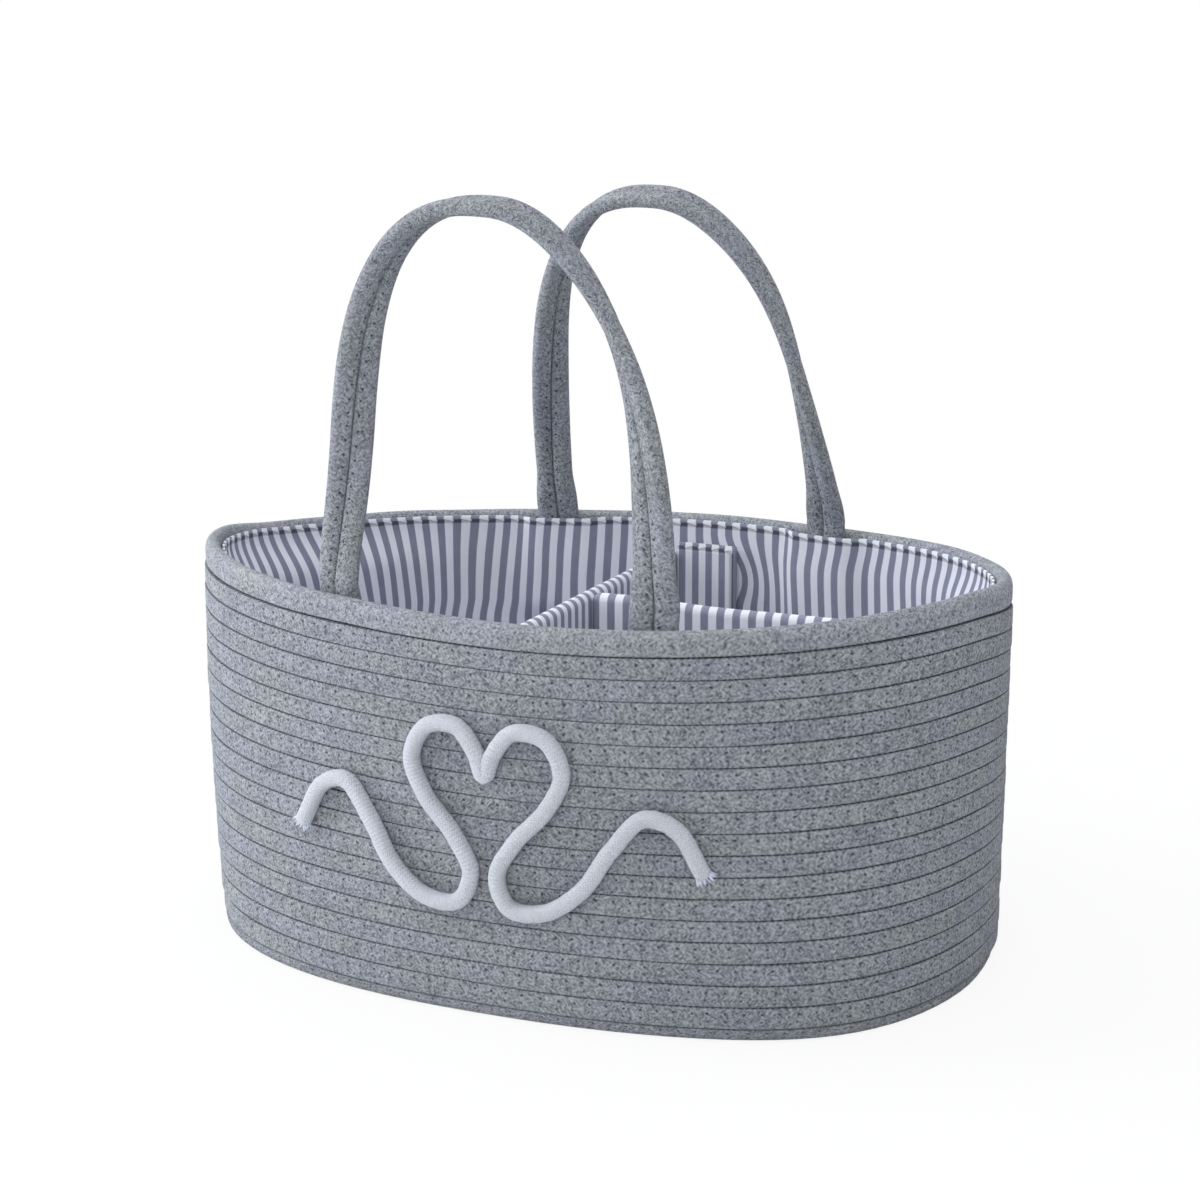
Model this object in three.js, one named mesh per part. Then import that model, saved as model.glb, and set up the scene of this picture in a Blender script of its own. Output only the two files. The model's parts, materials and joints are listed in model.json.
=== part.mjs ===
// Diaper caddy: an oval basket wound from cotton rope, with a closed rope rim, two rope strap
// handles, a striped cloth lining, a lift-out T-shaped divider and a white cord ornament.
// Millimetres, +Z up, +X along the long side, -Y to the front.
// The origin is the centre of the base, on the surface that the basket stands on.

import * as THREE from 'three';

// Driving dimensions of the wound wall, at the middle of its rope
const wallHeight = 169;
const rimHalfLength = 187;
const rimHalfWidth = 123;
const baseHalfLength = 183;
const baseHalfWidth = 128.5;
const rimRoundness = 2.02;
const baseRoundness = 2.33;
const endRise = 9.5;
const woundLoops = 18;
const loopSteps = 24;
const ropeSides = 6;
const loopGap = 0.5;
const climbStartSteps = 4;
const climbShare = 0.305;
const tailSteps = 5;
const tailNarrowing = 0.5;
const rimRopeHeight = 10.5;

// Clearance between pieces that touch on the real object
const seatGap = 0.3;

// Driving dimensions of the lining
const clothThickness = 1.2;
const liningDrop = 3;
const bulgeHold = 1.5;
const bulgeFade = 7;
const lowerLiningShares = [0.25, 0.5, 0.75];

// Driving dimensions of the handles
const handleSpacing = 144;
const handleRise = 161;
const strapRopeDiameter = 9.2;
const strapRopeSides = 8;
const strapSteps = 44;
const leftShoulderRoundness = 2.8;
const rightShoulderRoundness = 2.05;
const twistEndShare = 0.7;
const backHandleLean = 12;
const swingGap = 0.4;
const strapCapTurns = [1.35, 0.75];
const footThickness = 7;
const footWidth = 20;
const footLength = 46;

// Driving dimensions of the divider
const panelThickness = 7;
const panelTop = 153;
const crossPanelPlace = -10;
const longPanelPlace = 8;
const coverThickness = 1;
const boardInset = 2.5;
const flapThickness = 1.2;
const flapReach = 32;
const flapHeight = 110;
const stripThickness = 1;
const stripWidth = 20;
const stripHeight = 100;

// Driving dimensions of the white cord ornament
const ornamentCordDiameter = 8;
const ornamentCordSides = 8;
const ornamentSteps = 110;
const ornamentWidth = 186;
const ornamentHeight = 82;
const ornamentPlace = 5;
const ornamentLevel = 88;

// Sizes that follow from the driving dimensions
const pitch = (wallHeight - rimRopeHeight - loopGap / 2) / woundLoops;
const ropeRadius = (pitch - loopGap) / 2;
const ropeFlat = ropeRadius * Math.cos(Math.PI / ropeSides);
const floorLevel = pitch / 2 + ropeRadius + seatGap;
const liningDepth = ropeFlat + seatGap;
const liningTop = wallHeight - liningDrop;
const strapRopeRadius = strapRopeDiameter / 2;
const strapRopeFlat = strapRopeRadius * Math.cos(Math.PI / strapRopeSides);
const strapRopeOffset = strapRopeFlat + seatGap / 2;
const strapHalfWidth = strapRopeOffset + strapRopeRadius;
const panelHalf = panelThickness / 2;
const panelBottom = floorLevel + clothThickness + seatGap;
const panelEndDepth = liningDepth + clothThickness + seatGap;

const up = new THREE.Vector3(0, 0, 1);
const mix = (from, to, share) => from + (to - from) * share;
const power = (value, exponent) => Math.sign(value) * Math.abs(value) ** exponent;
const smooth = (share) => {
  const held = THREE.MathUtils.clamp(share, 0, 1);
  return held * held * (3 - 2 * held);
};

// Colours of the cloth and rope
const ropeGrey = { color: 0x8f939b, roughness: 0.95, metalness: 0 };
const stripeCloth = { color: 0xb9bcc9, roughness: 0.9, metalness: 0 };
const boardWhite = { color: 0xdad7cf, roughness: 0.85, metalness: 0 };
const stripGrey = { color: 0x7a7d85, roughness: 0.8, metalness: 0 };
const cordWhite = { color: 0xf1f1f2, roughness: 0.85, metalness: 0 };

const caddy = new THREE.Group();

function addPiece(name, geometry, finish, parent = caddy) {
  const mesh = new THREE.Mesh(geometry, new THREE.MeshStandardMaterial(finish));
  mesh.name = name;
  parent.add(mesh);
  return mesh;
}

// A solid skinned over rings of points: its ends are capped, or it closes on itself
function loft(rings, closesOnItself = false) {
  const sides = rings[0].length;
  const positions = rings.flat().flatMap((point) => [point.x, point.y, point.z]);
  const faces = [];
  const spans = closesOnItself ? rings.length : rings.length - 1;
  for (let ring = 0; ring < spans; ring += 1) {
    const here = ring * sides;
    const next = ((ring + 1) % rings.length) * sides;
    for (let side = 0; side < sides; side += 1) {
      const beside = (side + 1) % sides;
      faces.push(here + side, here + beside, next + beside);
      faces.push(here + side, next + beside, next + side);
    }
  }
  if (!closesOnItself) {
    const last = (rings.length - 1) * sides;
    for (let side = 1; side < sides - 1; side += 1) {
      faces.push(0, side + 1, side);
      faces.push(last, last + side, last + side + 1);
    }
  }
  if (signedVolume(positions, faces) < 0) {
    faces.reverse();
  }
  const geometry = new THREE.BufferGeometry();
  geometry.setAttribute('position', new THREE.Float32BufferAttribute(positions, 3));
  geometry.setIndex(faces);
  geometry.computeVertexNormals();
  return geometry;
}

function signedVolume(positions, faces) {
  const corner = (index) => new THREE.Vector3().fromArray(positions, 3 * index);
  let total = 0;
  for (let face = 0; face < faces.length; face += 3) {
    const first = corner(faces[face]);
    total += first.dot(corner(faces[face + 1]).cross(corner(faces[face + 2])));
  }
  return total;
}

// A point on the middle of the wall's rope, at an angle round the oval
function wallPoint(angle, height, inset = 0) {
  const share = height / wallHeight;
  const halfLength = mix(baseHalfLength, rimHalfLength, share) - inset;
  const halfWidth = mix(baseHalfWidth, rimHalfWidth, share) - inset;
  const exponent = 2 / mix(baseRoundness, rimRoundness, share);
  const alongShare = power(Math.cos(angle), exponent);
  const x = halfLength * alongShare;
  const y = halfWidth * power(Math.sin(angle), exponent);
  return new THREE.Vector3(x, y, height + endRise * share * alongShare ** 2);
}

// Stations run round the wall: a whole number is a corner of the wound polygon
const stepAngle = (2 * Math.PI) / loopSteps;
const cornerPoint = (corner, height, inset) => wallPoint(corner * stepAngle, height, inset);

function chordNormal(corner, height) {
  const along = cornerPoint(corner + 1, height).sub(cornerPoint(corner, height));
  return new THREE.Vector3(along.y, -along.x, 0).normalize();
}

// The outward direction at a station, lengthened at a corner so that the flats keep their depth
function outward(station, height) {
  const before = chordNormal(Math.ceil(station) - 1, height);
  const after = chordNormal(Math.floor(station), height);
  const middle = before.clone().add(after).normalize();
  return middle.divideScalar(middle.dot(after));
}

function stationPoint(station, height) {
  const corner = Math.floor(station);
  const start = cornerPoint(corner, height);
  return start.lerp(cornerPoint(corner + 1, height), station - corner);
}

// A point inside the wall, so deep behind the middle of the rope
function insidePoint(station, height, depth) {
  return stationPoint(station, height).addScaledVector(outward(station, height), -depth);
}

// The walls that pieces lie along: the plan axis along each, and its run of corners
const halfTurn = loopSteps / 2;
const frontWall = { axis: 'x', fromCorner: halfTurn, toCorner: loopSteps };
const backWall = { axis: 'x', fromCorner: 0, toCorner: halfTurn };
const endWall = { axis: 'y', fromCorner: 0, toCorner: halfTurn / 2 };

// The station where a wall reaches a place along it, at a height
function stationAt(wall, place, height = liningTop) {
  for (let corner = wall.fromCorner; corner < wall.toCorner; corner += 1) {
    const start = cornerPoint(corner, height)[wall.axis];
    const end = cornerPoint(corner + 1, height)[wall.axis];
    const share = (place - start) / (end - start);
    if (share >= 0 && share < 1) {
      return corner + share;
    }
  }
  return wall.toCorner;
}

// Rope wall: one rope wound clockwise as it climbs, in all the loops under the rim. The lowest
// loop lies flat on the ground and steps outwards under the next. Each later loop climbs one
// pitch in the same part of its turn and is level in the rest. The rope's tail thins out
// between the last loop and the level rim.
const climbedShare = (step) => smooth((step % loopSteps) / loopSteps / climbShare);

function woundPlace(step) {
  const loop = Math.floor(step / loopSteps);
  const climbed = climbedShare(step);
  if (loop === 0) {
    return { height: pitch / 2, inset: pitch * Math.sqrt(1 - climbed ** 2) };
  }
  if (loop === woundLoops) {
    return { height: pitch * woundLoops - (pitch * (1 - climbed)) / 2, inset: 0 };
  }
  return { height: pitch / 2 + pitch * (loop - 1 + climbed), inset: 0 };
}

function ropeRing(centre, out, halfWidth, halfHeight) {
  return Array.from({ length: ropeSides }, (unused, side) => {
    const turn = (2 * Math.PI * side) / ropeSides;
    const point = centre.clone().addScaledVector(out, halfWidth * Math.sin(turn));
    return point.addScaledVector(up, halfHeight * Math.cos(turn));
  });
}

function woundRings() {
  const rings = [];
  const lastStep = woundLoops * loopSteps + tailSteps;
  for (let step = 0; step <= lastStep; step += 1) {
    const corner = climbStartSteps - step;
    const { height, inset } = woundPlace(step);
    const centre = cornerPoint(corner, height, inset);
    let out = outward(corner, height);
    if (step === 0) {
      out = chordNormal(corner - 1, height);
    }
    if (step === lastStep) {
      out = chordNormal(corner, height);
    }
    const thinned = step > woundLoops * loopSteps ? climbedShare(step) : 0;
    const halfWidth = ropeRadius * (1 - tailNarrowing * thinned);
    const halfHeight = (pitch * (1 - thinned) - loopGap) / 2;
    rings.push(ropeRing(centre, out, halfWidth, halfHeight));
  }
  return rings;
}

const rimRings = Array.from({ length: loopSteps }, (unused, corner) => {
  const height = wallHeight - rimRopeHeight / 2;
  return ropeRing(cornerPoint(corner, height), outward(corner, height), ropeRadius, rimRopeHeight / 2);
});

// The least gap of the winding to itself and to the rim, on the points of loops that touch
function leastWoundGap(rings) {
  let least = Infinity;
  rings.forEach((ring, step) => {
    const corner = (((climbStartSteps - step) % loopSteps) + loopSteps) % loopSteps;
    for (const above of [rings[step + loopSteps] ?? [], rimRings[corner]].flat()) {
      least = Math.min(least, ...ring.map((below) => below.distanceTo(above)));
    }
  });
  return least;
}

const wallRings = woundRings();
addPiece('rope_wall', loft(wallRings), ropeGrey);
console.log(`rope_wall: least gap to itself and the rim ${leastWoundGap(wallRings).toFixed(2)} mm`);

// Rope rim: one closed loop of rope pressed tall, sewn on over the wound rope's tail
addPiece('rope_rim', loft(rimRings, true), ropeGrey);

// Rope base: the flat turns inside the lowest loop, one slab that the basket stands on
function plate(outline, bottom, thickness) {
  const shape = new THREE.Shape(outline.map((point) => new THREE.Vector2(point.x, point.y)));
  const geometry = new THREE.ExtrudeGeometry(shape, { depth: thickness, bevelEnabled: false });
  return geometry.translate(0, 0, bottom);
}

function baseOutline() {
  const outline = [];
  for (let step = 1; step < loopSteps; step += 1) {
    const corner = climbStartSteps - step;
    const { height, inset } = woundPlace(step);
    const edge = cornerPoint(corner, height, inset);
    outline.push(edge.addScaledVector(outward(corner, height), -liningDepth));
  }
  const start = cornerPoint(climbStartSteps, pitch / 2);
  const backwards = cornerPoint(climbStartSteps + 1, pitch / 2).sub(start).normalize();
  const ropeEndReach = Math.max(
    ...wallRings[0].map((point) => point.clone().sub(start).dot(backwards)),
  );
  for (const depth of [liningDepth, pitch + liningDepth]) {
    const point = start.clone().addScaledVector(outward(climbStartSteps, pitch / 2), -depth);
    outline.push(point.addScaledVector(backwards, ropeEndReach + 2 * seatGap));
  }
  return outline;
}
addPiece('rope_base', plate(baseOutline(), 0, pitch / 2 + ropeRadius), ropeGrey);

// Handle places: the hinge line lies just above the rim, over the handle feet
const footDepth = ropeFlat + seatGap + footThickness / 2;
const footReachShare = (handleSpacing / 2 + strapHalfWidth) / rimHalfLength;
const rimOverFoot = wallHeight + endRise * footReachShare ** 2;
const hingeLevel = rimOverFoot + strapRopeRadius + 2 * seatGap;
const footTop = hingeLevel - strapRopeRadius - swingGap;
const footBottom = footTop - footLength;
const footPlaces = [
  { name: 'front_left_handle_foot', station: stationAt(frontWall, -handleSpacing / 2) },
  { name: 'front_right_handle_foot', station: stationAt(frontWall, handleSpacing / 2) },
  { name: 'back_left_handle_foot', station: stationAt(backWall, -handleSpacing / 2) },
  { name: 'back_right_handle_foot', station: stationAt(backWall, handleSpacing / 2) },
];
const hingeStation = stationAt(backWall, handleSpacing / 2);
const hingePlace = insidePoint(hingeStation, liningTop, footDepth).y;

// A flat bar with round edges, as pairs of a place across it and one through it
function barSection(width, thickness, roundSteps = 4) {
  const section = [];
  for (const edge of [1, -1]) {
    for (let step = 0; step <= roundSteps; step += 1) {
      const turn = (Math.PI * step) / roundSteps - Math.PI / 2;
      const across = (width - thickness) / 2 + (thickness / 2) * Math.cos(turn);
      section.push([edge * across, edge * (thickness / 2) * Math.sin(turn)]);
    }
  }
  return section;
}

// Handle feet: the strap ends, pressed flat between the rope wall and the lining
for (const { name, station } of footPlaces) {
  const rings = [footBottom, footTop].map((level) => {
    const centre = insidePoint(station, level, footDepth).setZ(level);
    const inward = outward(station, level).negate();
    const along = new THREE.Vector3(-inward.y, inward.x, 0);
    return barSection(footWidth, footThickness).map(([across, through]) =>
      centre.clone().addScaledVector(along, across).addScaledVector(inward, through),
    );
  });
  addPiece(name, loft(rings), ropeGrey);
}

// Lining wall: cloth along the inside of the wall, pushed inwards over the handle feet
const bulgeDepth = footThickness + seatGap;

function footBulge(station, height) {
  let bulge = 0;
  for (const foot of footPlaces) {
    const place = stationPoint(foot.station, height);
    const reach = stationPoint(station, height).setZ(0).distanceTo(place.setZ(0));
    const sideways = (reach - footWidth / 2 - bulgeHold) / bulgeFade;
    const downwards = (footBottom - bulgeHold - height) / bulgeFade;
    const fade = (1 - smooth(sideways)) * (1 - smooth(downwards));
    bulge = Math.max(bulge, bulgeDepth * fade);
  }
  return bulge;
}

function liningStations() {
  const stations = Array.from({ length: loopSteps }, (unused, corner) => corner);
  for (const foot of footPlaces) {
    const chord = Math.floor(foot.station);
    const chordLength = cornerPoint(chord, liningTop).distanceTo(cornerPoint(chord + 1, liningTop));
    const reaches = [footWidth / 2 + bulgeHold, footWidth / 2 + bulgeHold + bulgeFade];
    for (const reach of reaches) {
      stations.push(foot.station - reach / chordLength, foot.station + reach / chordLength);
    }
  }
  return stations.sort((one, other) => one - other);
}

function liningHeights() {
  const bottom = panelBottom;
  const bulgeEdge = footBottom - bulgeHold;
  const heights = [bottom];
  for (const share of lowerLiningShares) {
    heights.push(mix(bottom, bulgeEdge - bulgeFade, share));
  }
  heights.push(bulgeEdge - bulgeFade, bulgeEdge, liningTop);
  return heights;
}

const liningRings = liningStations().map((station) => {
  const face = (depth) => (height) =>
    insidePoint(station, height, depth + footBulge(station, height));
  const outside = liningHeights().map(face(liningDepth));
  const inside = liningHeights().reverse().map(face(liningDepth + clothThickness));
  return [...outside, ...inside];
});
addPiece('lining_wall', loft(liningRings, true), stripeCloth);

// Lining floor: the oval cloth bottom that the lining wall is sewn to
const liningFloorOutline = Array.from({ length: loopSteps }, (unused, corner) =>
  insidePoint(corner, floorLevel, liningDepth),
);
addPiece('lining_floor', plate(liningFloorOutline, floorLevel, clothThickness), stripeCloth);

// Handle arch: a superellipse in the XZ plane from the left hinge place to the right one
class ArchCurve extends THREE.Curve {
  getPoint(share) {
    const turn = Math.PI * share;
    const exponent = 2 / (share < 0.5 ? leftShoulderRoundness : rightShoulderRoundness);
    const x = (-handleSpacing / 2) * power(Math.cos(turn), exponent);
    return new THREE.Vector3(x, 0, handleRise * power(Math.sin(turn), exponent));
  }
}

// One rope of the strap. Both ropes twist together by a quarter turn up each leg, so that
// the strap faces front at its feet and lies flat at the top. Its ends are round.
function strapRope(side) {
  const arch = new ArchCurve();
  arch.arcLengthDivisions = 20 * strapSteps;
  const strapRing = (share, shift, radius) => {
    const tangent = arch.getTangentAt(share).setY(0).normalize();
    const legShare = 2 * Math.min(share, 1 - share);
    const twist = (Math.PI / 2) * smooth(legShare / twistEndShare);
    const across = new THREE.Vector3(tangent.z, 0, -tangent.x).multiplyScalar(Math.cos(twist));
    across.y = Math.sin(twist);
    const facing = across.clone().cross(tangent);
    const centre = arch.getPointAt(share).addScaledVector(across, side * strapRopeOffset);
    centre.addScaledVector(tangent, shift);
    return Array.from({ length: strapRopeSides }, (unused, corner) => {
      const turn = (2 * Math.PI * (corner + 0.5)) / strapRopeSides;
      const point = centre.clone().addScaledVector(across, radius * Math.cos(turn));
      return point.addScaledVector(facing, radius * Math.sin(turn));
    });
  };
  const cap = (share, way) =>
    strapCapTurns.map((turn) =>
      strapRing(share, way * strapRopeRadius * Math.sin(turn), strapRopeRadius * Math.cos(turn)),
    );
  const rings = cap(0, -1);
  for (let step = 0; step <= strapSteps; step += 1) {
    rings.push(strapRing(step / strapSteps, 0, strapRopeRadius));
  }
  rings.push(...cap(1, 1).reverse());
  return loft(rings);
}

// Handles: the front one stands upright, the back one leans inwards
for (const { name, place, lean } of [
  { name: 'front_handle', place: -hingePlace, lean: 0 },
  { name: 'back_handle', place: hingePlace, lean: backHandleLean },
]) {
  const handle = new THREE.Group();
  handle.position.set(0, place, hingeLevel);
  handle.rotation.x = THREE.MathUtils.degToRad(lean);
  addPiece(`${name}_inner_rope`, strapRope(1), ropeGrey, handle);
  addPiece(`${name}_outer_rope`, strapRope(-1), ropeGrey, handle);
  caddy.add(handle);
}

// Divider: two boards in folded cloth covers, sewn together as a T
const divider = new THREE.Group();
caddy.add(divider);
const panelHeight = panelTop - panelBottom;

// The cloth cover of a panel that runs along +X from the origin, open at its lower edge
function coverSolid(length) {
  const shape = new THREE.Shape();
  const shoulder = panelHeight - panelHalf;
  const lining = panelHalf - coverThickness;
  shape.moveTo(panelHalf, 0);
  shape.lineTo(panelHalf, shoulder);
  shape.absarc(0, shoulder, panelHalf, 0, Math.PI, false);
  shape.lineTo(-panelHalf, 0);
  shape.lineTo(-lining, 0);
  shape.lineTo(-lining, shoulder);
  shape.absarc(0, shoulder, lining, Math.PI, 0, true);
  shape.lineTo(lining, 0);
  shape.closePath();
  const settings = { depth: length, bevelEnabled: false, curveSegments: 8 };
  const geometry = new THREE.ExtrudeGeometry(shape, settings);
  return geometry.rotateX(Math.PI / 2).rotateZ(Math.PI / 2);
}

function boardSolid(length) {
  const thickness = panelThickness - 2 * coverThickness - 2 * seatGap;
  const height = panelHeight - panelHalf;
  const geometry = new THREE.BoxGeometry(length - 2 * boardInset, thickness, height);
  return geometry.translate(length / 2, 0, height / 2);
}

function addPanel(name, length, place, turn) {
  const panel = new THREE.Group();
  panel.position.copy(place);
  panel.rotation.z = turn;
  addPiece(`${name}_cover`, coverSolid(length), stripeCloth, panel);
  addPiece(`${name}_board`, boardSolid(length), boardWhite, panel);
  divider.add(panel);
}

// A point in front of the lining at a place along one wall, at a height up each corner of it
function spotOnWall(wall, place, heightAt, depth) {
  let spot;
  for (let corner = wall.fromCorner; corner < wall.toCorner; corner += 1) {
    const start = insidePoint(corner, heightAt(corner), depth);
    const end = insidePoint(corner + 1, heightAt(corner + 1), depth);
    const share = (place - start[wall.axis]) / (end[wall.axis] - start[wall.axis]);
    if (share >= 0 && share <= 1) {
      spot = start.lerp(end, share);
    }
  }
  return spot;
}

// The height up the wall at which a corner of it reaches a level
const heightAtLevel = (level) => (corner) => level ** 2 / cornerPoint(corner, level).z;

function leaningPoint(wall, place, level, depth) {
  return spotOnWall(wall, place, heightAtLevel(level), depth).setZ(level);
}

// What lifts out stands upright, so it keeps to where the wall is narrowest between its foot
// and the rim
function uprightPoint(wall, place, bottom, depth) {
  const low = leaningPoint(wall, place, bottom, depth).setZ(0);
  const high = spotOnWall(wall, place, () => liningTop, depth).setZ(0);
  return low.length() < high.length() ? low : high;
}

const panelEdges = [-panelHalf, panelHalf];
const crossReach = Math.min(
  ...panelEdges.map(
    (edge) => uprightPoint(backWall, crossPanelPlace + edge, panelBottom, panelEndDepth).y,
  ),
);
const longEnd = Math.min(
  ...panelEdges.map(
    (edge) => uprightPoint(endWall, longPanelPlace + edge, panelBottom, panelEndDepth).x,
  ),
);
const longStart = crossPanelPlace + panelHalf + seatGap;
const crossPlace = new THREE.Vector3(crossPanelPlace, -crossReach, panelBottom);
const longPlace = new THREE.Vector3(longStart, longPanelPlace, panelBottom);
addPanel('cross_panel', 2 * crossReach, crossPlace, Math.PI / 2);
addPanel('long_panel', longEnd - longStart, longPlace, 0);

// The places from a start over a reach, with each corner of the wall that lies between
function placeRun(wall, start, reach) {
  const run = [start, start + reach];
  for (let corner = wall.fromCorner; corner <= wall.toCorner; corner += 1) {
    const place = cornerPoint(corner, liningTop)[wall.axis];
    if (place > start + seatGap && place < start + reach - seatGap) {
      run.push(place);
    }
  }
  return run.sort((one, other) => one - other);
}

function stripSolid(places, levels, pointAt, depth, thickness) {
  const rings = places.map((place) => {
    const face = (faceDepth) => (level) => pointAt(place, level, faceDepth).setZ(level);
    return [...levels.map(face(depth)), ...levels.map(face(depth + thickness)).reverse()];
  });
  return loft(rings);
}

// Flaps at the panel ends, with the hook strips sewn on them. The loop strips are sewn
// on the lining and lean with the wall.
const loopDepth = liningDepth + clothThickness + seatGap;
const hookDepth = loopDepth + stripThickness + seatGap;
const flapDepth = hookDepth + stripThickness + seatGap;
const flapTop = panelTop;
const flapLevels = [flapTop - flapHeight, flapTop];
const stripEdge = (flapHeight - stripHeight) / 2;
const stripLevels = [flapTop - flapHeight + stripEdge, flapTop - stripEdge];
const betweenLevels = liningHeights().filter(
  (height) => height > stripLevels[0] + seatGap && height < stripLevels[1] - seatGap,
);
const leaningLevels = [stripLevels[0], ...betweenLevels, stripLevels[1]];
const crossFlapStart = crossPanelPlace + panelHalf + seatGap;
const endFlapStart = longPanelPlace + panelHalf + seatGap;
for (const { panel, side, wall, start } of [
  { panel: 'cross_panel_front', side: 'front', wall: frontWall, start: crossFlapStart },
  { panel: 'cross_panel_back', side: 'back', wall: backWall, start: crossFlapStart },
  { panel: 'long_panel_end', side: 'end', wall: endWall, start: endFlapStart },
]) {
  const leaning = (place, level, depth) => leaningPoint(wall, place, level, depth);
  const upright = (place, level, depth) => uprightPoint(wall, place, flapLevels[0], depth);
  const stripRun = placeRun(wall, start + (flapReach - stripWidth) / 2, stripWidth);
  const flapRun = placeRun(wall, start, flapReach);
  const loopStrip = stripSolid(stripRun, leaningLevels, leaning, loopDepth, stripThickness);
  const hookStrip = stripSolid(stripRun, stripLevels, upright, hookDepth, stripThickness);
  const flap = stripSolid(flapRun, flapLevels, upright, flapDepth, flapThickness);
  addPiece(`${side}_loop_strip`, loopStrip, stripGrey);
  addPiece(`${panel}_hook_strip`, hookStrip, stripGrey, divider);
  addPiece(`${panel}_flap`, flap, stripeCloth, divider);
}

// White cord ornament: one cord laid as a wave, a heart and a wave, sewn on the front wall.
// Its points are shares of the ornament's half width and half height, for the left half.
const ornamentLeftShares = [
  [-1, -0.42],
  [-0.88, 0.02],
  [-0.74, 0.12],
  [-0.6, -0.22],
  [-0.47, -0.66],
  [-0.3, -0.93],
  [-0.13, -0.93],
  [-0.065, -0.62],
  [-0.15, -0.24],
  [-0.3, 0.14],
  [-0.37, 0.52],
  [-0.29, 0.86],
  [-0.14, 0.9],
  [-0.045, 0.66],
];
const ornamentShares = [
  ...ornamentLeftShares,
  [0, 0.42],
  ...ornamentLeftShares.map(([across, rise]) => [-across, rise]).reverse(),
];
const ornamentDepth = -(ropeRadius + seatGap + ornamentCordDiameter / 2);

function ornamentSolid() {
  const onWall = ([across, rise]) => {
    const x = ornamentPlace + (across * ornamentWidth) / 2;
    const level = ornamentLevel + (rise * ornamentHeight) / 2;
    return leaningPoint(frontWall, x, level, ornamentDepth);
  };
  const flat = new THREE.CatmullRomCurve3(
    ornamentShares.map(([across, rise]) => new THREE.Vector3(across, rise, 0)),
    false,
    'centripetal',
  );
  const route = new THREE.CatmullRomCurve3(
    flat.getPoints(ornamentSteps).map((point) => onWall([point.x, point.y])),
  );
  const rings = [];
  for (let step = 0; step <= ornamentSteps; step += 1) {
    const share = step / ornamentSteps;
    const centre = route.getPointAt(share);
    const tangent = route.getTangentAt(share);
    const off = outward(stationAt(frontWall, centre.x, centre.z), centre.z).normalize();
    const across = off.clone().cross(tangent).normalize();
    rings.push(
      Array.from({ length: ornamentCordSides }, (unused, side) => {
        const turn = (2 * Math.PI * side) / ornamentCordSides;
        const point = centre.clone().addScaledVector(across, (ornamentCordDiameter / 2) * Math.cos(turn));
        return point.addScaledVector(off, (ornamentCordDiameter / 2) * Math.sin(turn));
      }),
    );
  }
  return loft(rings);
}
addPiece('white_cord_ornament', ornamentSolid(), cordWhite);

export default caddy;
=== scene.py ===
import json
import math

import bpy
import numpy as np
from mathutils import Matrix, Vector, noise


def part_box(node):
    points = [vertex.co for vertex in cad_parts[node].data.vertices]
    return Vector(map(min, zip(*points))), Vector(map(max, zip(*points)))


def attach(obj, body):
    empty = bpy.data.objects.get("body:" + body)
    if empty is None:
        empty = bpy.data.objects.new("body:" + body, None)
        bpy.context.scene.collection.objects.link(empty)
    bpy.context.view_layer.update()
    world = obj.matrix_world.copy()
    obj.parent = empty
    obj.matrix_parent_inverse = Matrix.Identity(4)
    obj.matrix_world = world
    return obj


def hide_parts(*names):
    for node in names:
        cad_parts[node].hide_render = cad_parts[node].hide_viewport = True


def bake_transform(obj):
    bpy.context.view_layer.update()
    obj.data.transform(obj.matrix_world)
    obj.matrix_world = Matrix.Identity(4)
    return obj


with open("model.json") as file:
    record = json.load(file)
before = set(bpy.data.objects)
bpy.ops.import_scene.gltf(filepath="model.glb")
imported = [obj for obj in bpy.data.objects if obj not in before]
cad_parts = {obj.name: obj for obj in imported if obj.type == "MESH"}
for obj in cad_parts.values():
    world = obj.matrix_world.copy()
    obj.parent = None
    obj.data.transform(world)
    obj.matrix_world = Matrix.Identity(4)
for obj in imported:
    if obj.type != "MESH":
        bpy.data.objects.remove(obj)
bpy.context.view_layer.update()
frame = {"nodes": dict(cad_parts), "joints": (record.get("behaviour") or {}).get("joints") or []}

# Camera: a little to the right of the front and slightly above, as the caddy is shown for sale.
# It looks at the middle of the caddy, rim and handles together.
VIEW_AZIMUTH = math.radians(23.52)
VIEW_ELEVATION = math.radians(12.88)
VIEW_ROLL = math.radians(-0.33)
VIEW_DISTANCE = 1.0763
VIEW_MIDDLE = Vector((0.00028, 0, 0.15198))
LENS_LENGTH = 69.88
SENSOR_WIDTH = 36
NEAREST_SEEN = 0.01
away = Vector((
    math.sin(VIEW_AZIMUTH) * math.cos(VIEW_ELEVATION),
    -math.cos(VIEW_AZIMUTH) * math.cos(VIEW_ELEVATION),
    math.sin(VIEW_ELEVATION),
))
level_right = Vector((math.cos(VIEW_AZIMUTH), math.sin(VIEW_AZIMUTH), 0))
level_up = away.cross(level_right)
camera_right = level_right * math.cos(VIEW_ROLL) + level_up * math.sin(VIEW_ROLL)
camera_up = level_up * math.cos(VIEW_ROLL) - level_right * math.sin(VIEW_ROLL)
bpy.ops.object.camera_add()
camera = bpy.context.object
camera.name = "studio_camera"
camera.data.lens = LENS_LENGTH
camera.data.sensor_width = SENSOR_WIDTH
camera.data.clip_start = NEAREST_SEEN
camera_turn = Matrix((camera_right, camera_up, away)).transposed().to_4x4()
camera.matrix_world = Matrix.Translation(VIEW_MIDDLE + VIEW_DISTANCE * away) @ camera_turn
bpy.context.scene.camera = camera
bpy.context.scene.view_settings.view_transform = "Standard"


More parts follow.
